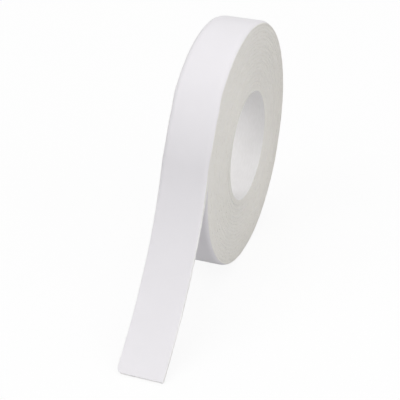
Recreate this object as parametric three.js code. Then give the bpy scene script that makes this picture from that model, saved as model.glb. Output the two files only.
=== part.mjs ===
// A roll of hook and loop tape, standing on its edge with a free tail in front.
// Two strips, one with hooks and one with loops, lie face to face and are wound together on a paper core.
// The roll's axis is X and the tail leaves towards -Y. The origin is on the floor, under the axis.
import * as THREE from "three";

// Tape, in millimetres
const TAPE_WIDTH = 25;
const HOOK_THICKNESS = 0.7;
const LOOP_THICKNESS = 0.62;
const MATE_GAP = 0.36; // between the two strips, where the hooks hold the loops
const WRAP_GAP = 0.34; // between one turn's back and the next

// Core, and the tab that holds the inner end of the tape to it
const CORE_BORE = 60;
const CORE_WALL = 3;
const TAB_LENGTH = 40;
const TAB_WIDTH = 20;
const TAB_THICKNESS = 0.3;
const SEAT_GAP = 0.3; // left at each glued face of the tab

// Winding
const TURNS = 16;
const FLAT_DEPTH = 0.5; // how far the roll is pressed flat where it stands

// Free tail, measured along its outer face
const LEAVE_ANGLE = THREE.MathUtils.degToRad(16); // above the axis, at the front of the roll
const TAIL_LENGTH = 106.5;
const TAIL_END_LENGTH = 56; // from the bend line to the free end
const PEEL_LENGTH = 40; // of the hook strip, from the peel line to the free end
const EARLY_BEND = 1.5; // how much of the tail's flare comes near the roll, 1 is a plain arc
const FLOOR_GAP = 0.2; // under the free end, which all but touches the floor
const BEND_GAP = 0.3; // between two lengths of one strip at a bend line

// Finishes
const finishes = {
  hook: { color: "#ebebef", roughness: 0.8, metalness: 0 },
  loop: { color: "#e6e5e3", roughness: 0.9, metalness: 0 },
  core: { color: "#dcdad5", roughness: 0.85, metalness: 0 },
  tab: { color: "#d8d3c6", roughness: 0.6, metalness: 0 },
};

// Facets, and the steps in which a curve is followed or a size is found
const TURN_STEP = THREE.MathUtils.degToRad(11);
const TAB_STEP = THREE.MathUtils.degToRad(6);
const CORE_SIDES = 72;
const TAIL_STEP = 4;
const PATH_STEPS = 96;
const SOLVE_STEPS = 40;

// Sizes that follow from these. Angles run from the front, up over the top, to the back and under.
const FULL_TURN = 2 * Math.PI;
const BOTTOM = 0.75 * FULL_TURN;
const tapeThickness = HOOK_THICKNESS + MATE_GAP + LOOP_THICKNESS;
const pitch = tapeThickness + WRAP_GAP;
const coreRadius = CORE_BORE / 2 + CORE_WALL;
const tabRadius = coreRadius + SEAT_GAP;
const windingStart = tabRadius + TAB_THICKNESS + SEAT_GAP;
const rollRadius = windingStart + tapeThickness + TURNS * pitch;
const windingEnd = LEAVE_ANGLE + TURNS * FULL_TURN;
const axisHeight = turnRadius(BOTTOM) - FLAT_DEPTH;
const bendAt = TAIL_LENGTH - TAIL_END_LENGTH;
const peelAt = TAIL_LENGTH - PEEL_LENGTH;

// Where each strip lies in the tape, from the outer face inwards
const strips = {
  hook: { depth: 0, thickness: HOOK_THICKNESS },
  loop: { depth: HOOK_THICKNESS + MATE_GAP, thickness: LOOP_THICKNESS },
};

// The outer face of the winding, from where the tail leaves it, inwards.
function turnRadius(angle) {
  return rollRadius - (pitch * (angle - LEAVE_ANGLE)) / FULL_TURN;
}

// A place in the plane across the roll's axis, from that axis.
function around(radius, angle) {
  return new THREE.Vector2(-radius * Math.cos(angle), radius * Math.sin(angle));
}

// Evenly spaced values from first to last, no more than step apart.
function evenly(first, last, step) {
  const count = Math.ceil((last - first) / step);
  return Array.from({ length: count + 1 }, (_, i) => first + ((last - first) * i) / count);
}

// A closed band of the given width: each ring has a point on its outer face and one on its inner face.
function bandGeometry(rings, width) {
  const half = width / 2;
  const corners = rings.flatMap(({ outer, inner }) => [
    [-half, outer.x, outer.y],
    [half, outer.x, outer.y],
    [half, inner.x, inner.y],
    [-half, inner.x, inner.y],
  ]);
  const faces = [];
  for (let ring = 0; ring + 1 < rings.length; ring++) {
    for (let side = 0; side < 4; side++) {
      const a = 4 * ring + side;
      const b = 4 * ring + ((side + 1) % 4);
      faces.push(a, b, b + 4, a, b + 4, a + 4);
    }
  }
  const end = 4 * (rings.length - 1);
  faces.push(3, 2, 1, 3, 1, 0);
  faces.push(end, end + 1, end + 2, end, end + 2, end + 3);
  const geometry = new THREE.BufferGeometry();
  geometry.setAttribute("position", new THREE.Float32BufferAttribute(corners.flat(), 3));
  geometry.setIndex(faces);
  geometry.computeVertexNormals();
  return geometry;
}

function piece(name, geometry, finish) {
  const mesh = new THREE.Mesh(geometry, new THREE.MeshStandardMaterial(finish));
  mesh.name = name;
  return mesh;
}

// The angle at which the outer turn meets the floor, on one side of the bottom.
function flatEdge(side) {
  let angle = BOTTOM;
  for (let i = 0; i < SOLVE_STEPS; i++) {
    angle = BOTTOM + side * Math.acos(axisHeight / turnRadius(angle));
  }
  return angle;
}

// One strip of the winding, as an unbroken spiral. Every turn has its facets at the same angles,
// so the turns keep their gap, and one facet of the outer turn lies flat on the floor.
function windingRings({ depth, thickness }) {
  const overTop = evenly(LEAVE_ANGLE, flatEdge(-1), TURN_STEP);
  const upFront = evenly(flatEdge(1), LEAVE_ANGLE + FULL_TURN, TURN_STEP).slice(0, -1);
  const angles = [];
  for (let turn = 0; turn < TURNS; turn++) {
    angles.push(...[...overTop, ...upFront].map((angle) => angle + turn * FULL_TURN));
  }
  angles.push(windingEnd);
  return angles.map((angle) => {
    const radius = turnRadius(angle) - depth;
    return { outer: around(radius, angle), inner: around(radius - thickness, angle) };
  });
}

// The least gap between the inner face of a winding's turns and the outer face of the turns inside them.
function leastGap(rings) {
  const perTurn = (rings.length - 1) / TURNS;
  const flat = (point) => new THREE.Vector3(point.x, point.y, 0);
  const nearest = new THREE.Vector3();
  let least = Infinity;
  for (let ring = 0; ring + perTurn + 1 < rings.length; ring++) {
    const facet = new THREE.Line3(flat(rings[ring + perTurn].outer), flat(rings[ring + perTurn + 1].outer));
    for (const point of [rings[ring].inner, rings[ring + 1].inner]) {
      facet.closestPointToPoint(flat(point), true, nearest);
      least = Math.min(least, nearest.distanceTo(flat(point)));
    }
  }
  return least;
}

// The tail's heading below the horizontal, at a length along it from the roll.
function tailHeading(length, flare) {
  const leaving = Math.PI / 2 - LEAVE_ANGLE - Math.atan(pitch / (FULL_TURN * rollRadius));
  const share = length / TAIL_LENGTH;
  return leaving - flare * share * (EARLY_BEND - (EARLY_BEND - 1) * share);
}

// A point of the tail's outer face, from the roll's axis.
function tailPoint(length, flare) {
  const point = around(rollRadius, LEAVE_ANGLE);
  const step = length / PATH_STEPS;
  for (let i = 0; i < PATH_STEPS; i++) {
    const heading = tailHeading((i + 0.5) * step, flare);
    point.x -= step * Math.cos(heading);
    point.y -= step * Math.sin(heading);
  }
  return point;
}

// The flare that brings the back corner of the free end down to just above the floor.
function restingFlare() {
  let low = 0;
  let high = Math.PI / 2;
  for (let i = 0; i < SOLVE_STEPS; i++) {
    const flare = (low + high) / 2;
    const drop = tapeThickness * Math.cos(tailHeading(TAIL_LENGTH, flare));
    if (axisHeight + tailPoint(TAIL_LENGTH, flare).y - drop > FLOOR_GAP) {
      high = flare;
    } else {
      low = flare;
    }
  }
  return (low + high) / 2;
}
const tailFlare = restingFlare();

// A length of one strip in the tail, seen from the line of the tail that it turns about.
function tailRings({ depth, thickness }, from, to, line) {
  const rings = evenly(from, to, TAIL_STEP).map((length) => {
    const heading = tailHeading(length, tailFlare);
    const inwards = new THREE.Vector2(Math.sin(heading), -Math.cos(heading));
    const face = tailPoint(length, tailFlare).sub(line);
    return {
      outer: face.clone().addScaledVector(inwards, depth),
      inner: face.clone().addScaledVector(inwards, depth + thickness),
    };
  });
  return rings.reverse();
}

function coreTube() {
  const half = TAPE_WIDTH / 2;
  const bore = CORE_BORE / 2;
  const profile = [
    [bore, -half],
    [coreRadius, -half],
    [coreRadius, half],
    [bore, half],
    [bore, -half],
  ].map(([radius, along]) => new THREE.Vector2(radius, along));
  const tube = piece("core_tube", new THREE.LatheGeometry(profile, CORE_SIDES), finishes.core);
  tube.rotation.z = Math.PI / 2;
  return tube;
}

function starterTab() {
  const span = TAB_LENGTH / tabRadius;
  const rings = evenly(windingEnd - span, windingEnd, TAB_STEP).map((angle) => ({
    outer: around(tabRadius + TAB_THICKNESS, angle),
    inner: around(tabRadius, angle),
  }));
  return piece("starter_tab", bandGeometry(rings, TAB_WIDTH), finishes.tab);
}

function winding(strip) {
  const rings = windingRings(strips[strip]);
  console.log(strip + "_winding: least gap to itself " + leastGap(rings).toFixed(2) + " mm");
  return piece(strip + "_winding", bandGeometry(rings, TAPE_WIDTH), finishes[strip]);
}

// The part of the tail that turns about one line across it, as a group placed on that line.
// Each entry of lengths names a piece and says which strip it is cut from and where it ends.
function tailGroup(lineAt, parentLine, lengths) {
  const line = tailPoint(lineAt, tailFlare);
  const group = new THREE.Group();
  group.position.set(0, line.x - parentLine.x, line.y - parentLine.y);
  for (const [name, strip, end] of lengths) {
    const rings = tailRings(strips[strip], lineAt + BEND_GAP, end, line);
    group.add(piece(name, bandGeometry(rings, TAPE_WIDTH), finishes[strip]));
  }
  return group;
}

const rollAxis = new THREE.Vector2(0, 0);
const tail = tailGroup(0, rollAxis, [
  ["hook_tail_root", "hook", bendAt],
  ["loop_tail_root", "loop", bendAt],
]);
const tailEnd = tailGroup(bendAt, tailPoint(0, tailFlare), [
  ["hook_tail_middle", "hook", peelAt],
  ["loop_tail_end", "loop", TAIL_LENGTH],
]);
const peeledEnd = tailGroup(peelAt, tailPoint(bendAt, tailFlare), [["hook_peel_end", "hook", TAIL_LENGTH]]);
tail.add(tailEnd);
tailEnd.add(peeledEnd);

const roll = new THREE.Group();
roll.position.z = axisHeight;
roll.add(coreTube(), starterTab(), winding("hook"), winding("loop"), tail);

const part = new THREE.Group();
part.add(roll);

export default part;
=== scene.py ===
"""A roll of hook and loop tape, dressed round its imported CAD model.

Sizes are in millimetres, apart from the floor, the light and the camera. Lengths along the tape count from
the line where the tail leaves the roll: they are below 0 in the winding and above 0 in the tail.
"""
import math

import bpy
import numpy as np
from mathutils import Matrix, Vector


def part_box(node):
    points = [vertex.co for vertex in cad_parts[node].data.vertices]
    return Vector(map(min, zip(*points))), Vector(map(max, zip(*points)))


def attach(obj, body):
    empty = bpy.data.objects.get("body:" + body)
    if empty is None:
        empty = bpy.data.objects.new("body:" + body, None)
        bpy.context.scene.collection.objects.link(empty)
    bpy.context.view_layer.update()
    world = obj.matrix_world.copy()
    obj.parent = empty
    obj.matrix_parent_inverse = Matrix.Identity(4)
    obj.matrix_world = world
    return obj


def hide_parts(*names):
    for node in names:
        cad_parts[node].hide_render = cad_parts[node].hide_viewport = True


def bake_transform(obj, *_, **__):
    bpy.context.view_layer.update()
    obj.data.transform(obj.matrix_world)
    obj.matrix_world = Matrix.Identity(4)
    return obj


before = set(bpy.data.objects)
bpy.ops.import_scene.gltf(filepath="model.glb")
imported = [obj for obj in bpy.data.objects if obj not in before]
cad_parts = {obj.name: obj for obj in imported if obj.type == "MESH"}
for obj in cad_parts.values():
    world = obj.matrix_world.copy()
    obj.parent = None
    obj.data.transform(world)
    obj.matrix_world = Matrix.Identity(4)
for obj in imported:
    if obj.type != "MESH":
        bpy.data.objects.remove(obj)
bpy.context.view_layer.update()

MM = 0.001
FULL_TURN = 2 * math.pi

# Sizes of the CAD part
TAPE_WIDTH = 25.0
CAD_THICKNESS = 1.68
CAD_PITCH = 2.02
CORE_BORE = 60.0
CORE_WALL = 3.0
TAB_LENGTH = 40.0
TAB_WIDTH = 20.0
TURNS = 16
ROLL_RADIUS = 67.90
LEAVE_ANGLE = math.radians(16)
TAIL_LENGTH = 106.5
BEND_AT = 50.5
PEEL_AT = 66.5
EARLY_BEND = 1.5
FLOOR_GAP = 0.2
HALF_TAPE = TAPE_WIDTH / 2
BORE_RADIUS = CORE_BORE / 2
CORE_RADIUS = BORE_RADIUS + CORE_WALL
AXIS_HEIGHT = (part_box("core_tube")[0].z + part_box("core_tube")[1].z) / 2 / MM

# What the tape is made of
WOUND_THICKNESS = 2.08  # both strips with the pile between them
FREE_THICKNESS = 1.70  # the same in the tail
HOOK_WEB = 0.30  # a share of the thickness, as the next three are
LOOP_WEB = 0.28
PILE_MEETS = 0.53
PILE_OVERLAP = 0.01  # of each pile and its web
FREE_PILE = 1.2  # height of the loop pile where it can be peeled, as a share of its mated height
FREE_PILE_INSET = 0.2  # from the free end
EDGE_INSET = 0.12  # from the CAD tape's edge to the web's
EDGE_BULGE = 0.2  # of the web
PILE_INSET = 0.16  # from the web's edge to the pile's
ROW_PITCH = 1.05  # between rows of hooks
EDGE_WAVES = ((0.05, 45), (0.04, 9.3), (0.025, 3.7))  # sizes and wavelengths
PILE_WAVES = ((0.05, 3.1), (0.045, 4.7), (0.04, 7.9))

# How the tape lies
CORE_CLEARANCE = 0.10
FIRST_CLIMB = 0.05  # share of a turn in which the second turn climbs over the tape's inner end
PRESSED_FROM = 35.0  # radius from which the turns are pressed flat where the roll stands
PRESSED_GROWTH = 1.5  # power by which that grows outwards
PRESSED_EASE = 0.2  # from flat to round
PRESSED_REACH = 0.5  # the most that the flat reaches from the bottom, in radians
RIM_DROOP = 1.35  # how far the edges of the outer turn bend in, all the turns together
RIM_GROWTH = 1.3  # power by which that grows from turn to turn
TAIL_DROOP = ((0, RIM_DROOP), (12, 0.7), (40, 0.3), (TAIL_LENGTH, 0.08))  # and at lengths in the tail
DROOP_FROM = 9.0  # from the middle of the tape
WANDER = ((0.06, 210), (0.04, 87), (0.02, 31))  # sizes and wavelengths of its sideways drift
END_WANDER = 0.3  # share of that drift at the free end
OUTER_STRAY = 0.65  # how far the outer turn lies sideways where it strays most
STRAY_FROM, STRAY_TO = -38.0, 2.0
STRAY_GROWS, STRAY_FADES = 10.0, 16.0  # over these lengths

# Its free end
END_WEAR = 0.3  # length over which it is rounded
END_LEVEL = 0.65  # where it closes, as a share of the web's thickness from the outer face
END_CLOSES = 0.7  # share of the thickness that is gone at the very end
LEFT_CORNER = (3.0, 4.2)  # how far each corner is worn round, across and along the tape
RIGHT_CORNER = (0.7, 0.9)
CORNER_REACH = 4.3  # length in which the meshes follow the corners

# Where the strips are cut into pieces
OUTER_TURN_LAP = 12.0  # from the cut to the start of the hook strip's last turn
CUT_ON_ROLL = -14.0
CUT_IN_TAIL = 30.0
CUT_AT_PEEL = 60.5

# Lengths round each joint of the tail
LIFT_ZONE = (-3, 9)
BEND_ZONE = (BEND_AT - 6, BEND_AT + 6)
PEEL_ZONE = (PEEL_AT - 4, PEEL_AT + 8)

# Steps of the path and of the meshes
PATH_STEPS = 1440  # in a turn
TAIL_PATH_STEPS = 424
SOLVE_STEPS = 40
HIDDEN_STEP, HIDDEN_COUNT = 1.4, 5  # along the turns inside, and points across them
OUTER_STEP, FACE_COUNT = 0.6, 33  # the same in the outer turn
TAIL_STEP = 0.5
CORNER_STEP = 0.13
END_STEP = 0.05
WOUND_PILE_STEP = 1.6
TAIL_PILE_STEP = 1.0
FREE_PILE_STEP = 0.6
SHARP_EDGE = math.radians(40)


# The path of the tape's outer face, across the roll's axis, from its inner end to its free end


def smooth(x):
    x = np.clip(x, 0, 1)
    return x * x * (3 - 2 * x)


def wound_radius(turns):
    """Radius of the path, after so many turns from its inner end.

    The first turn lies on the core, and each later one climbs over the inner end, ever more gently.
    """
    first = CORE_RADIUS + CORE_CLEARANCE + WOUND_THICKNESS
    pitch = (ROLL_RADIUS - first) / (TURNS - 1)
    climbed = np.zeros_like(turns)
    for k in range(1, TURNS):
        late = (k - 1) / (TURNS - 2)
        width = FIRST_CLIMB + (1 - FIRST_CLIMB) * late
        share = np.clip((turns - k) / width, 0, 1)
        climbed += (1 - late) * smooth(share) + late * share
    return first + pitch * climbed


def wound_path(turns):
    """Places on the path, with the turns pressed flat where the roll stands."""
    radius = wound_radius(turns)
    angle = LEAVE_ANGLE + FULL_TURN * (TURNS - turns)
    from_bottom = (angle + FULL_TURN / 4) % FULL_TURN
    from_bottom = np.where(from_bottom > math.pi, from_bottom - FULL_TURN, from_bottom)
    at_bottom = wound_radius(np.clip(turns + from_bottom / FULL_TURN, 0, TURNS))
    last_at_bottom = TURNS - 3 / 4 + LEAVE_ANGLE / FULL_TURN
    lowest = wound_radius(np.array([last_at_bottom]))[0]
    share = np.clip((at_bottom - PRESSED_FROM) / (lowest - PRESSED_FROM), 0, 1)
    pressed = (lowest - AXIS_HEIGHT) * share**PRESSED_GROWTH
    flat = (at_bottom - pressed) / np.cos(np.clip(from_bottom, -PRESSED_REACH, PRESSED_REACH))
    share = np.clip(0.5 + 0.5 * (flat - radius) / PRESSED_EASE, 0, 1)
    radius = flat * (1 - share) + radius * share - PRESSED_EASE * share * (1 - share)
    return np.stack([-radius * np.cos(angle), AXIS_HEIGHT + radius * np.sin(angle)], 1)


def tail_heading(length, flare):
    """The tail's slope at a length. It turns by the flare from where the tail leaves the roll to its end."""
    leaving = math.pi / 2 - LEAVE_ANGLE - math.atan(CAD_PITCH / (FULL_TURN * ROLL_RADIUS))
    share = length / TAIL_LENGTH
    return leaving - flare * share * (EARLY_BEND - (EARLY_BEND - 1) * share)


def tail_path(flare):
    step = TAIL_LENGTH / TAIL_PATH_STEPS
    heading = tail_heading((np.arange(TAIL_PATH_STEPS) + 0.5) * step, flare)
    start_y = -ROLL_RADIUS * math.cos(LEAVE_ANGLE)
    start_z = AXIS_HEIGHT + ROLL_RADIUS * math.sin(LEAVE_ANGLE)
    steps = step * np.stack([np.cos(heading), np.sin(heading)], 1)
    return np.array([start_y, start_z]) - np.cumsum(steps, 0)


def resting_flare():
    """The flare that brings the CAD tail's free end down to just above the floor."""
    low, high = 0.0, math.pi / 2
    for _ in range(SOLVE_STEPS):
        flare = (low + high) / 2
        drop = CAD_THICKNESS * math.cos(tail_heading(TAIL_LENGTH, flare))
        if tail_path(flare)[-1, 1] - drop > FLOOR_GAP:
            high = flare
        else:
            low = flare
    return (low + high) / 2


path_turns = np.linspace(0, TURNS, TURNS * PATH_STEPS + 1)
path_places = np.concatenate([wound_path(path_turns), tail_path(resting_flare())])
path_lengths = np.concatenate([[0], np.cumsum(np.hypot(*np.diff(path_places, axis=0).T))])
path_lengths -= path_lengths[len(path_turns) - 1]
headings = np.gradient(path_places, axis=0)
headings /= np.hypot(*headings.T)[:, None]
path_outward = np.stack([-headings[:, 1], headings[:, 0]], 1)
path_outward *= np.sign(path_outward[0] @ (path_places[0] - [0, AXIS_HEIGHT]))
INNER_END = path_lengths[0]
OUTER_TURN_FROM = path_lengths[(TURNS - 1) * PATH_STEPS] - OUTER_TURN_LAP


def on_path(length, depth, across):
    """Points at lengths along the tape, depths below its outer face and places across it."""
    length, depth, across = np.broadcast_arrays(length, depth, across)
    y, z = [np.interp(length, path_lengths, path_places[:, i]) for i in (0, 1)]
    out_y, out_z = [np.interp(length, path_lengths, path_outward[:, i]) for i in (0, 1)]
    return np.stack([across, y - out_y * depth, z - out_z * depth], -1)


def waves(length, parts, seed):
    """A smooth irregular line: a sum of waves of given sizes and wavelengths."""
    phase = np.random.default_rng(seed).uniform(0, FULL_TURN, len(parts))
    return sum(size * np.sin(FULL_TURN * length / long + p) for (size, long), p in zip(parts, phase))


def thickness(length):
    return np.interp(length, [CUT_ON_ROLL, CUT_IN_TAIL], [WOUND_THICKNESS, FREE_THICKNESS])


def drift(length):
    """How far the tape strays sideways, most of all in the outer turn just before the tail leaves it."""
    wander = waves(length, WANDER, seed=3) * np.interp(length, [0, TAIL_LENGTH], [1, END_WANDER])
    grown = smooth((length - STRAY_FROM) / STRAY_GROWS)
    left = smooth((STRAY_TO - length) / STRAY_FADES)
    return wander + OUTER_STRAY * grown * left


def droop(length, across):
    """How far the tape bends in at a place across it. It builds up by turns, and the tail straightens."""
    turn = np.interp(length, path_lengths[: len(path_turns)], path_turns)
    wound = RIM_DROOP * (turn / TURNS) ** RIM_GROWTH
    free = np.interp(length, *zip(*TAIL_DROOP))
    to_edge = np.maximum((np.abs(across) - DROOP_FROM) / (HALF_TAPE - DROOP_FROM), 0)
    return np.where(length < 0, wound, free) * to_edge**3


# Meshes


def volume(places, faces):
    """Six times the volume inside the faces, below 0 if they point inwards."""
    total = 0.0
    for size in {len(f) for f in faces}:
        f = np.array([x for x in faces if len(x) == size])
        for i in range(1, size - 1):
            crossed = np.cross(places[f[:, i]], places[f[:, i + 1]])
            total += np.einsum("ij,ij->", places[f[:, 0]], crossed)
    return total


class Shells:
    """Closed shells that are gathered into one mesh. Each has a material slot and two sets of coordinates:
    weave runs round and along it, and section gives the place across and the depth."""

    def __init__(self):
        self.places, self.weave, self.section, self.faces, self.slots = [], [], [], [], []
        self.count = 0

    def add(self, places, faces, slot, weave, section):
        places = np.asarray(places, float).reshape(-1, 3)
        if volume(places, faces) < 0:
            faces = [tuple(reversed(f)) for f in faces]
        self.faces += [tuple(int(i) + self.count for i in f) for f in faces]
        self.slots += [slot] * len(faces)
        self.places.append(places)
        self.weave.append(np.asarray(weave, float).reshape(-1, 2))
        self.section.append(np.asarray(section, float).reshape(-1, 2))
        self.count += len(places)

    def piece(self, name, materials, slot, nodes):
        mesh = bpy.data.meshes.new(name)
        mesh.from_pydata((np.concatenate(self.places) * MM).tolist(), [], self.faces)
        for material in materials:
            mesh.materials.append(material)
        mesh.polygons.foreach_set("material_index", np.array(self.slots, np.int32))
        corner = np.zeros(len(mesh.loops), np.int32)
        mesh.loops.foreach_get("vertex_index", corner)
        for layer in ("weave", "section"):
            values = np.concatenate(getattr(self, layer)) * MM
            mesh.uv_layers.new(name=layer).data.foreach_set("uv", values[corner].astype(np.float32).ravel())
        mesh.shade_smooth()
        mesh.set_sharp_from_angle(angle=SHARP_EDGE)
        piece = bpy.data.objects.new(name, mesh)
        bpy.context.scene.collection.objects.link(piece)
        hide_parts(*nodes)
        return piece


def ring_faces(count, around, closed=False):
    """Quads between rings of points, with a face on each end unless the last ring joins the first."""
    ring = np.arange(count if closed else count - 1)[:, None] * around
    next_ring = (ring + around) % (count * around)
    side = np.arange(around)[None, :]
    after = (side + 1) % around
    quads = np.stack([ring + side, ring + after, next_ring + after, next_ring + side], -1)
    faces = [tuple(q) for q in quads.reshape(-1, 4)]
    if closed:
        return faces
    last = (count - 1) * around
    return faces + [tuple(range(around))[::-1], tuple(range(last, last + around))]


def evenly(first, last, step):
    """Evenly spaced values from first to last, about a step apart."""
    return np.linspace(first, last, int(math.ceil((last - first) / step)) + 1)


# The two strips of the tape

WEB, PILE = 0, 1  # material slots
EDGE_CROWDING = 1.5  # power by which a web's points lie closer together at its edges
EDGE_TURN = np.radians([50, 0, -50])  # points round a web's edge
PILE_SHOULDER = 0.76  # a point across the pile, near where it begins to bend in
PILE_SEED = 20  # added to a strip's own seed
STRIPS = {
    "hook": {"seed": 5, "web": (0.0, HOOK_WEB), "pile": (HOOK_WEB - PILE_OVERLAP, PILE_MEETS)},
    "loop": {"seed": 8, "web": (1 - LOOP_WEB, 1.0), "pile": (PILE_MEETS, 1 - LOOP_WEB + PILE_OVERLAP)},
}


def half_width(length, strip, side):
    """From the middle of the tape to its edge on one side, -1 or 1, with the worn corners of the free end."""
    half = HALF_TAPE - EDGE_INSET + waves(length, EDGE_WAVES, STRIPS[strip]["seed"] + side)
    wide, long = LEFT_CORNER if side < 0 else RIGHT_CORNER
    past = np.clip((length - (TAIL_LENGTH - long)) / long, 0, 1)
    return half - wide * (1 - np.sqrt(1 - past**2))


def half_widths(length, strip, across):
    """The same, each on the side of a place across the tape."""
    return np.where(across < 0, half_width(length, strip, -1), half_width(length, strip, 1))


def add_web(shells, strip, lengths, across_count):
    """The woven web of one strip, with rounded edges and a worn free end."""
    top, bottom = STRIPS[strip]["web"]
    even = np.linspace(-1, 1, across_count)
    face = np.sign(even) * (1 - (1 - np.abs(even)) ** EDGE_CROWDING)
    outline = [(x, 0.0, 0.0) for x in face]
    outline += [(1.0, math.cos(a), 0.5 - 0.5 * math.sin(a)) for a in EDGE_TURN]
    outline += [(x, 0.0, 1.0) for x in face[::-1]]
    outline += [(-1.0, -math.cos(a), 0.5 + 0.5 * math.sin(a)) for a in EDGE_TURN]
    share, bulge, through = np.array(outline).T
    s = lengths[:, None]
    x = share * (half_widths(s, strip, share) - EDGE_BULGE) + bulge * EDGE_BULGE
    worn = 1 - np.sqrt(1 - np.clip((s - (TAIL_LENGTH - END_WEAR)) / END_WEAR, 0, 1) ** 2)
    through = END_LEVEL + (through - END_LEVEL) * (1 - END_CLOSES * worn)
    depth = thickness(s) * (top + (bottom - top) * through) + droop(s, x)
    step = np.hypot(np.diff(x, axis=1), np.diff(depth, axis=1))
    round_it = np.concatenate([np.zeros((len(x), 1)), np.cumsum(step, 1)], 1)
    from_middle = round_it - round_it[:, across_count // 2, None]
    weave = np.stack(np.broadcast_arrays(from_middle, s), -1)
    shells.add(on_path(s, depth, x + drift(s)), ring_faces(*x.shape), WEB, weave, np.stack([x, depth], -1))


def add_pile(shells, strip, lengths, loop_height=1.0):
    """The pile of one strip as a mat, whose sides show at the tape's edges where the strips are mated."""
    top, bottom = STRIPS[strip]["pile"]
    if strip == "loop":
        top = bottom - loop_height * (bottom - top)
    over = [-1, -PILE_SHOULDER, 0, PILE_SHOULDER, 1]
    outline = [(x, 0) for x in over] + [(1, 0.5)] + [(x, 1) for x in over[::-1]] + [(-1, 0.5)]
    share, through = np.array(outline).T
    at_side = through == 0.5
    s = lengths[:, None]
    rough = waves(s, PILE_WAVES, STRIPS[strip]["seed"] + PILE_SEED) * (1 + at_side)
    x = share * (half_widths(s, strip, share) - PILE_INSET + rough)
    depth = thickness(s) * (top + (bottom - top) * through) + droop(s, x)
    weave = np.stack(np.broadcast_arrays(x + depth, s), -1)
    shells.add(on_path(s, depth, x + drift(s)), ring_faces(*x.shape), PILE, weave, np.stack([x, depth], -1))


# Hooks and loops, on the length that peels

PILE_FROM = CUT_AT_PEEL + 1.0
HOOKS_TO, LOOPS_TO = TAIL_LENGTH - 1.0, TAIL_LENGTH - 0.9
PLACE_JITTER = 0.08
HOOK_STEM = ((0.0, -0.04), (0.0, 0.15), (0.01, 0.31))  # places (along, up) from the web
HOOK_CENTRE, HOOK_BEND = (0.16, 0.39), 0.15  # of its crook
HOOK_CROOK = np.radians(np.linspace(180, -35, 7))  # points round it
HOOK_YARN = ((0, 0.08), (6, 0.07), (9, 0.05))  # radius at the first point, in the crook and at the tip
HOOK_SPACING, HOOK_OFFSET = 1.25, 0.6  # in a row, and of every other row
HOOK_REACH = 11.55  # of the rows to each side
HOOK_ROOM = 0.4  # to the tape's edge
HOOK_TURN = 0.16  # how far hooks stray from their row's way, in radians
HOOK_SIZE = (0.92, 1.08)
LOOP_REACH, LOOP_HEIGHT = 0.42, 0.52
LOOP_ARCH = np.radians(np.linspace(-8, 188, 8))  # points round it
LOOP_FOOT = -0.1  # how low its feet go, into the web, as a share of its height
LOOP_SQUARENESS = 0.8
LOOP_YARN = 0.042
LOOP_COUNT = 1750
LOOP_SIDES = (-11.6, 11.6)  # between these places across
LOOP_ROOM = 0.8
LOOP_SIZES = ((0.7, 1.5), (0.8, 1.2), (0.8, 1.2))  # along, sideways and up

# The closer rows of loops along the edges and the free end
ROW_SPACING = 0.3
ROW_LENGTHS = (CUT_AT_PEEL + 0.5, TAIL_LENGTH - 0.6)
ROW_SIDES = (-11.6, 11.8)
EDGE_ROWS, END_ROWS = (0.4, 0.75), (0.35, 0.7)  # how far in they are
ROW_ROOM = 0.25
ROW_TURN = 0.3
ROW_SIZES = ((0.6, 0.9, 0.95), (1.1, 1.3, 1.2))  # least and most


def tube_template(path, radius, sides):
    """Rings of points, (along, sideways, up), round a line that lies in one plane."""
    path = np.array(path)
    way = np.gradient(path, axis=0)
    way /= np.hypot(*way.T)[:, None]
    angle = FULL_TURN * np.arange(sides) / sides
    radius = np.broadcast_to(radius, len(path))[:, None]
    along = path[:, :1] - way[:, 1:] * np.cos(angle) * radius
    up = path[:, 1:] + way[:, :1] * np.cos(angle) * radius
    return np.stack([along, np.broadcast_to(np.sin(angle) * radius, along.shape), up], -1)


def add_copies(shells, strip, template, places, turned, size, room):
    """Copies of a small tube that stand on a strip's pile side, at those places that have room to its edges.

    A place is a length and a place across.
    """
    clear = np.abs(places[:, 1]) < half_widths(places[:, 0], strip, places[:, 1]) - room
    places, turned, size = places[clear], turned[clear], size[clear]
    one = ring_faces(*template.shape[:2])
    template = template.reshape(-1, 3)
    c, s = np.cos(turned)[:, None], np.sin(turned)[:, None]
    along, sideways, up = np.moveaxis(template[None] * size[:, None, :], -1, 0)
    length = places[:, :1] + c * along - s * sideways
    across = places[:, 1:] + s * along + c * sideways
    top, bottom = STRIPS[strip]["web"]
    base, inwards = (bottom, 1) if strip == "hook" else (top, -1)
    depth = base * thickness(length) + droop(length, across) + inwards * up
    faces = [tuple(i + k * len(template) for i in f) for k in range(len(places)) for f in one]
    weave, section = np.stack([across + up, length], -1), np.stack([across, depth], -1)
    shells.add(on_path(length, depth, across + drift(length)), faces, PILE, weave, section)


def hook_template():
    (along, up), radius = HOOK_CENTRE, HOOK_BEND
    line = [*HOOK_STEM, *((along + radius * math.cos(a), up + radius * math.sin(a)) for a in HOOK_CROOK)]
    yarn = np.interp(range(len(line)), *zip(*HOOK_YARN))
    return tube_template(line, yarn, sides=5)


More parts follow.
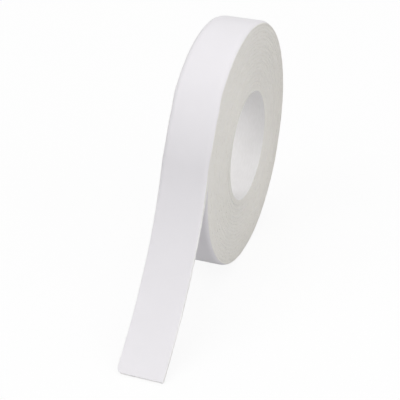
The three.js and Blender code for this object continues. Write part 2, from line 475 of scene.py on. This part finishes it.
def add_hooks(shells):
    """Rows of nylon hooks along the tape, each row turned the other way from the next."""
    random = np.random.default_rng(seed=21)
    steps = evenly(PILE_FROM, HOOKS_TO, HOOK_SPACING)
    rows = evenly(-HOOK_REACH, HOOK_REACH, ROW_PITCH)
    length, across = [grid.ravel() for grid in np.meshgrid(steps, rows, indexing="ij")]
    odd = np.tile(np.arange(len(rows)) % 2, len(steps))
    jitter = random.uniform(-PLACE_JITTER, PLACE_JITTER, (len(length), 2))
    places = np.stack([length + HOOK_OFFSET * odd, across], 1) + jitter
    turned = math.pi * odd + random.normal(0, HOOK_TURN, len(length))
    size = random.uniform(*HOOK_SIZE, (len(length), 3))
    add_copies(shells, "hook", hook_template(), places, turned, size, HOOK_ROOM)


def loop_template():
    line = []
    for a in LOOP_ARCH:
        rise = max(math.sin(a), LOOP_FOOT)
        up = rise**LOOP_SQUARENESS if rise > 0 else rise
        line.append((LOOP_REACH * math.cos(a), LOOP_HEIGHT * up))
    return tube_template(line, LOOP_YARN, sides=4)


def loop_rows():
    """The closer rows: lengths, places across and the way that the loops face."""
    along = evenly(*ROW_LENGTHS, ROW_SPACING)
    over = evenly(*ROW_SIDES, ROW_SPACING)
    rows = []
    for side in (-1, 1):
        for inset in EDGE_ROWS:
            rows.append((along, side * (half_width(along, "loop", side) - inset), 0.0))
    for inset in END_ROWS:
        rows.append((np.full(len(over), TAIL_LENGTH - inset), over, math.pi / 2))
    return rows


def add_loops(shells):
    """Brushed loops, which lean and cross every way, and the closer rows."""
    random = np.random.default_rng(seed=34)
    template = loop_template()
    length = random.uniform(PILE_FROM, LOOPS_TO, LOOP_COUNT)
    across = random.uniform(*LOOP_SIDES, LOOP_COUNT)
    size = np.stack([random.uniform(least, most, LOOP_COUNT) for least, most in LOOP_SIZES], 1)
    turned = random.uniform(0, FULL_TURN, LOOP_COUNT)
    add_copies(shells, "loop", template, np.stack([length, across], 1), turned, size, LOOP_ROOM)
    for length, across, way in loop_rows():
        jitter = random.uniform(-PLACE_JITTER, PLACE_JITTER, (len(length), 2))
        size = random.uniform(*ROW_SIZES, (len(length), 3))
        turned = way + random.normal(0, ROW_TURN, len(length))
        add_copies(shells, "loop", template, np.stack([length, across], 1) + jitter, turned, size, ROW_ROOM)


# Materials

FACE_DARK, FACE_LIGHT = (0.787, 0.770, 0.798), (0.835, 0.817, 0.843)
WOUND_EDGE = (0.858, 0.836, 0.792)
PAINTED_LIGHT_EDGE = (0.935, 0.925, 0.915)  # painted light: a lighter white for the free tail's edges, pile and cut end, which offsets the shade that falls on them
PAINTED_LIGHT_GROWS = (0.0, 30.0)  # lengths between which that painted light grows in over the winding's edge colour
WARP_PITCH, WEFT_PITCH = 0.43, 0.52
ROWS_END = (10.9, 11.2)  # from the middle of the tape. The selvedges are outside
# Where the edge colour shows: at the tape's edges and at its cut end. In the free tail that colour is painted
# light.
EDGE_SHOWS = (11.9, 12.38)
END_SHOWS = (TAIL_LENGTH - 0.2, TAIL_LENGTH - 0.05)
PLY = 0.6  # thickness of the core's paper
PLY_SLANT = math.radians(28)  # of its fibres
FIBRE_STRETCH = 6.0  # how many times longer than wide they are


class Nodes:
    """A node tree, with short ways to add to it. A value is a number, a colour or another node's socket."""

    def __init__(self, tree):
        self.tree = tree

    def put(self, socket, value):
        if isinstance(value, bpy.types.NodeSocket):
            self.tree.links.new(value, socket)
        else:
            socket.default_value = value

    def add(self, kind, inputs, output=0, **settings):
        node = self.tree.nodes.new("ShaderNode" + kind)
        for key, value in settings.items():
            setattr(node, key, value)
        for key, value in inputs.items():
            self.put(node.inputs[key], value)
        return node.outputs[output]

    def math(self, operation, a, b=0.0, c=0.0):
        return self.add("Math", {0: a, 1: b, 2: c}, operation=operation)


class Look(Nodes):
    """A material. Its patterns follow the two sets of coordinates that the meshes have, in metres."""

    def __init__(self, name):
        self.material = bpy.data.materials.new(name)
        self.material.use_nodes = True
        super().__init__(self.material.node_tree)
        self.shader = self.tree.nodes["Principled BSDF"]

    def layer(self, name):
        """A set of coordinates as one vector and its two numbers."""
        vector = self.add("UVMap", {}, uv_map=name)
        split = self.add("SeparateXYZ", {0: vector}).node
        return vector, split.outputs[0], split.outputs[1]

    def noise(self, scale, vector, detail=2.0, roughness=0.5):
        """Clouds, so many to a metre."""
        inputs = {"Vector": vector, "Scale": scale, "Detail": detail, "Roughness": roughness}
        return self.add("TexNoise", inputs)

    def total(self, *parts):
        """A sum of values, each times a number."""
        products = [self.math("MULTIPLY", value, times) for value, times in parts]
        result = products[0]
        for product in products[1:]:
            result = self.math("ADD", result, product)
        return result

    def ridges(self, value, pitch):
        """From 0 to 1 and back in each pitch."""
        return self.math("ABSOLUTE", self.math("SINE", self.math("MULTIPLY", value, math.pi / pitch)))

    def span(self, value, low, high, to_low=0.0, to_high=1.0):
        """A smooth step between two values."""
        inputs = {0: value, 1: low, 2: high, 3: to_low, 4: to_high}
        return self.add("MapRange", inputs, interpolation_type="SMOOTHSTEP")

    def step(self, value, zone, *ends):
        """The same between two lengths in millimetres."""
        low, high = zone
        return self.span(value, low * MM, high * MM, *ends)

    def mix(self, share, a, b):
        return self.add("Mix", {0: share, 6: a, 7: b}, output=2, data_type="RGBA")

    def shades(self, share, dark, light):
        return self.mix(share, (*dark, 1), (*light, 1))

    def speckle(self, share, light, darkest):
        """A colour, with flecks that go down to a share of it."""
        return self.shades(share, [darkest * c for c in light], light)

    def bump(self, height, strength, distance, normal=None):
        """Relief of a distance in millimetres."""
        inputs = {"Height": height, "Strength": strength, "Distance": distance * MM}
        if normal is not None:
            inputs["Normal"] = normal
        return self.add("Bump", inputs)

    def finish(self, colour, roughness, normal, **even):
        self.put(self.shader.inputs["Base Color"], colour)
        self.put(self.shader.inputs["Roughness"], roughness)
        self.put(self.shader.inputs["Normal"], normal)
        for name, value in even.items():
            self.shader.inputs[name.replace("_", " ")].default_value = value
        return self.material


def woven_web(name):
    """A smooth nylon weave: rows that bind the pile, plainer selvedges and edges of another white. In the
    free tail the edges and the cut end are a lighter white, painted light against their shade.
    """
    look = Look(name)
    vector, across, along = look.layer("weave")
    _, place, _ = look.layer("section")
    from_middle = look.math("ABSOLUTE", place)
    stray = look.noise(420, vector)
    mottle = look.noise(38, vector, 3.0, 0.55)
    fibre = look.noise(2600, vector)

    warp = look.total((across, 1 / (WARP_PITCH * MM)), (stray, 0.7))
    weft = look.total((along, 1 / (WEFT_PITCH * MM)), (stray, 0.5))
    crossing = look.math("ADD", look.math("FLOOR", warp), look.math("FLOOR", weft))
    over = look.math("FLOORED_MODULO", crossing, 2.0)
    weft_yarn = look.math("MULTIPLY", look.ridges(weft, 1), 0.8)
    yarns = look.add("Mix", {0: over, 2: weft_yarn, 3: look.ridges(warp, 1)}, data_type="FLOAT")
    bound = look.math("POWER", look.ridges(across, ROW_PITCH / 2 * MM), 6.0)
    bound = look.math("MULTIPLY", bound, look.step(from_middle, ROWS_END, 1.0, 0.0))
    height = look.math("MULTIPLY_ADD", bound, 0.5, yarns)
    normal = look.bump(height, 0.5, 0.04, look.bump(fibre, 0.25, 0.03))

    face = look.shades(look.total((mottle, 0.75), (yarns, 0.15), (fibre, 0.1)), FACE_DARK, FACE_LIGHT)
    # Painted light: in the free tail the edge colour turns to a lighter white that offsets the shade on the
    # edges.
    wound_edge, painted_light_edge = look.speckle(fibre, WOUND_EDGE, 0.93), look.speckle(fibre, PAINTED_LIGHT_EDGE, 0.96)
    edge = look.mix(look.step(along, PAINTED_LIGHT_GROWS), wound_edge, painted_light_edge)
    # The cut end takes the edge colour too, so it carries the same painted light.
    at_edge = look.math("MAXIMUM", look.step(from_middle, EDGE_SHOWS), look.step(along, END_SHOWS))
    colour = look.mix(at_edge, face, edge)
    roughness = look.span(fibre, 0.2, 0.8, 0.62, 0.78)
    sheen = {"Sheen_Weight": 0.1, "Sheen_Roughness": 0.4}
    return look.finish(colour, roughness, normal, Specular_IOR_Level=0.35, **sheen)


def pile_fuzz(name, dark, light):
    """Curled nylon fibre, a warm grey in the winding. In the free tail it turns a lighter white, painted
    light against the shade on the tail's edges.
    """
    look = Look(name)
    vector, _, along = look.layer("weave")
    curl = look.noise(1500, vector, 4.0, 0.65)
    clump = look.noise(260, vector)
    tone = look.total((curl, 0.6), (clump, 0.4))
    share = look.span(tone, 0.3, 0.7)
    # Painted light: the free tail's pile takes the lighter white of the tail's edges.
    wound, free = look.shades(share, dark, light), look.speckle(share, PAINTED_LIGHT_EDGE, 0.9)
    colour = look.mix(look.step(along, PAINTED_LIGHT_GROWS), wound, free)
    roughness = look.span(curl, 0.2, 0.8, 0.8, 0.95)
    sheen = {"Sheen_Weight": 0.2, "Sheen_Roughness": 0.5}
    return look.finish(colour, roughness, look.bump(tone, 0.6, 0.2), Specular_IOR_Level=0.25, **sheen)


def paper_board(name, dark, light, end):
    """A wound paper tube: fibres that run with the plies, and a greyer cut end with the ply lines."""
    look = Look(name)
    vector, _, _ = look.layer("weave")
    _, depth, end_on = look.layer("section")
    slant = {"Vector": vector, "Rotation": (0, 0, PLY_SLANT), "Scale": (1.0, FIBRE_STRETCH, 1.0)}
    fibre = look.noise(260, look.add("Mapping", slant), 5.0, 0.6)
    cloud = look.noise(60, vector, 3.0)
    wall = look.shades(look.span(look.total((fibre, 0.6), (cloud, 0.4)), 0.3, 0.7), dark, light)
    ply = look.span(look.ridges(depth, PLY * MM), 0.0, 0.5)
    cut = look.speckle(look.math("MULTIPLY", ply, look.span(fibre, 0.2, 0.7, 0.7, 1.0)), end, 0.86)
    colour = look.mix(look.step(end_on, (0.4, 0.6)), wall, cut)
    roughness = look.span(fibre, 0.2, 0.8, 0.75, 0.9)
    return look.finish(colour, roughness, look.bump(fibre, 0.3, 0.05), Specular_IOR_Level=0.3)


def tab_paper(name, dark, light):
    """Thin fibrous paper."""
    look = Look(name)
    vector, _, _ = look.layer("weave")
    fibre = look.noise(900, vector, 4.0, 0.6)
    roughness = look.span(fibre, 0.2, 0.8, 0.5, 0.65)
    return look.finish(look.shades(fibre, dark, light), roughness, look.bump(fibre, 0.2, 0.03))


LOOKS = {
    "hook": [woven_web("hook_web"), pile_fuzz("hook_pile", (0.76, 0.738, 0.696), (0.867, 0.845, 0.80))],
    "loop": [woven_web("loop_web"), pile_fuzz("loop_pile", (0.76, 0.738, 0.696), (0.872, 0.85, 0.805))],
}
core_board = paper_board("core_board", (0.845, 0.832, 0.827), (0.912, 0.898, 0.899), (0.845, 0.826, 0.783))
starter_paper = tab_paper("starter_paper", (0.66, 0.61, 0.49), (0.74, 0.69, 0.57))


# The winding


def wound_strip(name, strip, first, last, step, across_count):
    """One strip of the winding, from one length to another."""
    shells = Shells()
    add_web(shells, strip, evenly(first, last, step), across_count)
    add_pile(shells, strip, evenly(first, last, WOUND_PILE_STEP))
    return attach(shells.piece(name, LOOKS[strip], strip + "_strip", [strip + "_winding"]), "roll")


wound_strip("hook_strip_inner_turns", "hook", INNER_END, OUTER_TURN_FROM, HIDDEN_STEP, HIDDEN_COUNT)
wound_strip("hook_strip_outer_turn", "hook", OUTER_TURN_FROM, CUT_ON_ROLL, OUTER_STEP, FACE_COUNT)
wound_strip("loop_strip_turns", "loop", INNER_END, CUT_ON_ROLL, HIDDEN_STEP, HIDDEN_COUNT)


# The tail, in lengths that are cut round its joints


def tail_point(length):
    return tuple(on_path(length, 0.0, 0.0) * MM)


def tail_lengths(first, last):
    """Where the rings of a web lie, closer together at the worn free end."""
    if last < TAIL_LENGTH:
        return evenly(first, last, TAIL_STEP)
    corner, wear = last - CORNER_REACH, last - END_WEAR
    plain, worn = evenly(first, corner, TAIL_STEP), evenly(corner, wear, CORNER_STEP)
    return np.concatenate([plain[:-1], worn[:-1], evenly(wear, last, END_STEP)])


def tail_strip(name, strip, span, bodies, zone, node):
    """One strip of the tail, from one length to another, with its open pile where it can be peeled."""
    shells = Shells()
    first, last = span
    mated_to = min(last, CUT_AT_PEEL)
    add_web(shells, strip, tail_lengths(first, last), FACE_COUNT)
    if mated_to > first:
        add_pile(shells, strip, evenly(first, mated_to, TAIL_PILE_STEP))
    if last == TAIL_LENGTH and strip == "hook":
        add_hooks(shells)
    if last == TAIL_LENGTH and strip == "loop":
        add_pile(shells, strip, evenly(mated_to, last - FREE_PILE_INSET, FREE_PILE_STEP), FREE_PILE)
        add_loops(shells)
    piece = shells.piece(name, LOOKS[strip], strip + "_strip", [node])
    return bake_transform(piece, *bodies, start=tail_point(zone[0]), end=tail_point(zone[1]))


lift, bend, peel = ("roll", "tail"), ("tail", "tail_end"), ("tail_end", "peeled_end")
root, middle, end = (CUT_ON_ROLL, CUT_IN_TAIL), (CUT_IN_TAIL, CUT_AT_PEEL), (CUT_AT_PEEL, TAIL_LENGTH)
middle_and_end = (CUT_IN_TAIL, TAIL_LENGTH)
tail_strip("hook_strip_tail_root", "hook", root, lift, LIFT_ZONE, "hook_tail_root")
tail_strip("hook_strip_tail_middle", "hook", middle, bend, BEND_ZONE, "hook_tail_middle")
tail_strip("hook_strip_tail_end", "hook", end, peel, PEEL_ZONE, "hook_peel_end")
tail_strip("loop_strip_tail_root", "loop", root, lift, LIFT_ZONE, "loop_tail_root")
tail_strip("loop_strip_tail_end", "loop", middle_and_end, bend, BEND_ZONE, "loop_tail_end")


# The core, wound from paper plies

CORE_INSET = 0.05  # from the tape's edge to the core's end
CORE_EDGE = ((0.0, 0.3), (0.06, 0.1), (0.22, 0.0))  # its rounding, in from a wall and from the end
PLY_LINE = ((-0.07, 0.0), (0.0, 0.1), (0.07, 0.0))  # across the line between two plies, and its depth
END_BAND = 0.2  # what lies this near the end shows the cut plies
CORE_SIDES, BORE_COUNT = 360, 34  # steps round the core, and points along its bore
LAP_HEIGHT = 0.14  # of the innermost ply, where it overlaps itself along a spiral
LAP_FADE = 0.25  # depth in the wall at which it no longer shows
LAP_AT, LAP_SLANT = 0.35, 0.55  # in radians, at the middle and from there to an end
OUT_OF_ROUND, OUT_OF_SQUARE = 0.03, 0.0022
ROUND_WAVES = ((1, FULL_TURN / 2), (0.6, FULL_TURN / 3))
SQUARE_WAVES = ((1, FULL_TURN), (0.7, FULL_TURN / 4))


def core_profile(half):
    """The tube's section on one side of its axis: radius and place along the axis, from its outer edge on
    the left through the bore to its outer edge on the right."""
    inner_edge = [(BORE_RADIUS + r, half - x) for r, x in CORE_EDGE]
    outer_edge = [(CORE_RADIUS - r, half - x) for r, x in reversed(CORE_EDGE)]
    lines = [BORE_RADIUS + PLY * k for k in range(1, round(CORE_WALL / PLY))]
    plies = [(line + r, half - x) for line in lines for r, x in PLY_LINE]
    right = inner_edge + plies + outer_edge
    left = [(r, -x) for r, x in reversed(right)]
    reach = inner_edge[0][1]
    bore = [(BORE_RADIUS, x) for x in np.linspace(-reach, reach, BORE_COUNT)[1:-1]]
    return np.array(left + bore + right)


def core_tube():
    """A paper tube, not quite round, with the lap of its innermost ply in the bore."""
    half = HALF_TAPE - CORE_INSET
    profile = core_profile(half)
    r, x = profile.T[:, None, :]
    a = FULL_TURN * np.arange(CORE_SIDES)[:, None] / CORE_SIDES
    inside = np.clip((BORE_RADIUS + LAP_FADE - r) / LAP_FADE, 0, 1)
    past_lap = ((a - LAP_AT - x / half * LAP_SLANT) / FULL_TURN) % 1.0
    r = r + inside * (LAP_HEIGHT * (past_lap - 0.5) + OUT_OF_ROUND * waves(a, ROUND_WAVES, seed=40))
    x = x * (1 + OUT_OF_SQUARE * waves(a, SQUARE_WAVES, seed=41))
    places = np.stack([x, -r * np.cos(a), AXIS_HEIGHT + r * np.sin(a)], -1)
    end_on = np.where(np.abs(profile[:, 1]) > half - END_BAND, 1.0, 0.0)
    weave = np.stack(np.broadcast_arrays(BORE_RADIUS * a, x), -1)
    section = np.broadcast_to(np.stack([profile[:, 0] - BORE_RADIUS, end_on], -1), weave.shape)
    shells = Shells()
    shells.add(places, ring_faces(*x.shape, closed=True), 0, weave, section)
    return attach(shells.piece("core_tube_paper", [core_board], "core_board", ["core_tube"]), "roll")


core_tube()


# The tab under the tape's inner end

TAB_RINGS, TAB_COUNT = 61, 17  # along it, and points across each face
TAB_OUTER, TAB_INNER = 0.085, 0.015  # its faces, above the core
TORN, TORN_WAVE = 0.25, 9  # size of the waves at its ends, and how far they run in radians


def starter_tab():
    """A paper tab on the core, with both ends torn."""
    along = np.linspace(0, 1, TAB_RINGS)[:, None]
    over = np.linspace(-1, 1, TAB_COUNT)
    x = np.concatenate([over, over[::-1]]) * TAB_WIDTH / 2
    r = CORE_RADIUS + np.repeat([TAB_OUTER, TAB_INNER], TAB_COUNT)
    torn = TORN * np.sin(np.linspace(0, TORN_WAVE, TAB_COUNT))
    ends = np.concatenate([torn, torn[::-1]]) * (2 * along - 1)
    a = LEAVE_ANGLE - (TAB_LENGTH * along - ends) / CORE_RADIUS
    places = np.stack(np.broadcast_arrays(x, -r * np.cos(a), AXIS_HEIGHT + r * np.sin(a)), -1)
    weave = np.stack(np.broadcast_arrays(x, CORE_RADIUS * a), -1)
    shells = Shells()
    shells.add(places, ring_faces(*a.shape), 0, weave, weave)
    piece = shells.piece("starter_tab_paper", [starter_paper], "starter_paper", ["starter_tab"])
    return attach(piece, "roll")


starter_tab()


# Floor, light and camera, in metres

FLOOR_REACH = 6.0
FLOOR_GREY, FLOOR_WHITE = (0.6, 0.6, 0.6), (0.9, 0.9, 0.9)  # as it lights the roll, and as it is seen
FLOOR_GLOW = 0.9  # share of plain white in what is seen of it. The rest keeps the roll's shadow
CEILING = 0.68  # the room is as bright as this overhead, and fades to the horizon
LAMP_DISTANCE = 3.0
LAMP_AIM = (0, -0.02, 0.065)
LAMPS = [  # name, azimuth, elevation, size, energy. Azimuth 0 is in front of the roll, and 90 on its right
    ("left", -36, 43, 2.6, 35.0),
    ("front_right", 45, 15, 2.6, 21.0),
    ("right", 84, 27, 2.6, 22.5),
    ("top", 180, 70, 2.0, 22.0),
]
CAMERA_PLACE = (0.17801, -0.53259, 0.36497)
CAMERA_DOWN, CAMERA_ROUND = 30.891, 19.963  # degrees
SENSOR = 36  # millimetres
FOCAL_PIXELS, PICTURE_PIXELS = 1166.2, 400


def white_to_eye(nodes):
    """1 where a ray comes from the camera, or from a mirror or glass that it looks into."""
    path = nodes.add("LightPath", {}).node.outputs
    shown = nodes.math("MAXIMUM", path["Is Camera Ray"], path["Is Glossy Ray"])
    return nodes.math("MAXIMUM", shown, path["Is Transmission Ray"])


def floor_paper():
    look = Look("floor_paper")
    to_eye = white_to_eye(look)
    look.put(look.shader.inputs["Base Color"], look.shades(to_eye, FLOOR_GREY, FLOOR_WHITE))
    look.put(look.shader.inputs["Roughness"], 1.0)
    look.put(look.shader.inputs["Specular IOR Level"], 0.0)
    glow = look.add("Emission", {"Color": (1, 1, 1, 1), "Strength": 1.0})
    share = look.math("MULTIPLY", to_eye, FLOOR_GLOW)
    shown = look.add("MixShader", {0: share, 1: look.shader.outputs[0], 2: glow})
    look.put(look.tree.nodes["Material Output"].inputs["Surface"], shown)
    return look.material


def studio_floor():
    corners = [(x * FLOOR_REACH, y * FLOOR_REACH, 0) for x, y in ((-1, -1), (1, -1), (1, 1), (-1, 1))]
    mesh = bpy.data.meshes.new("floor")
    mesh.from_pydata(corners, [], [(0, 1, 2, 3)])
    mesh.materials.append(floor_paper())
    floor = bpy.data.objects.new("floor", mesh)
    bpy.context.scene.collection.objects.link(floor)


def studio_room():
    world = bpy.data.worlds.new("studio")
    world.use_nodes = True
    bpy.context.scene.world = world
    nodes = Nodes(world.node_tree)
    room = nodes.tree.nodes["Background"]
    room.inputs["Color"].default_value = (1, 1, 1, 1)
    upward = nodes.add("SeparateXYZ", {0: nodes.add("TexCoord", {})}, output=2)
    overhead = nodes.math("MULTIPLY", nodes.math("MAXIMUM", upward, 0.0), CEILING)
    nodes.put(room.inputs["Strength"], nodes.math("MAXIMUM", white_to_eye(nodes), overhead))


def lamp(name, azimuth, elevation, size, energy):
    """A square soft box that faces the roll."""
    data = bpy.data.lights.new(name, "AREA")
    data.energy, data.size = energy, size
    a, e = math.radians(azimuth), math.radians(elevation)
    away = np.array([math.sin(a) * math.cos(e), -math.cos(a) * math.cos(e), math.sin(e)])
    made = bpy.data.objects.new(name, data)
    made.location = away * LAMP_DISTANCE + np.array(LAMP_AIM)
    made.rotation_euler = (math.radians(90) - e, 0, a)
    bpy.context.scene.collection.objects.link(made)


def photo_camera():
    data = bpy.data.cameras.new("camera")
    data.sensor_width = SENSOR
    data.lens = SENSOR * FOCAL_PIXELS / PICTURE_PIXELS
    camera = bpy.data.objects.new("camera", data)
    camera.location = CAMERA_PLACE
    camera.rotation_euler = (math.radians(90 - CAMERA_DOWN), 0, math.radians(CAMERA_ROUND))
    bpy.context.scene.collection.objects.link(camera)
    bpy.context.scene.camera = camera


studio_floor()
studio_room()
for settings in LAMPS:
    lamp(*settings)
photo_camera()

bpy.context.scene.view_settings.view_transform = "Standard"
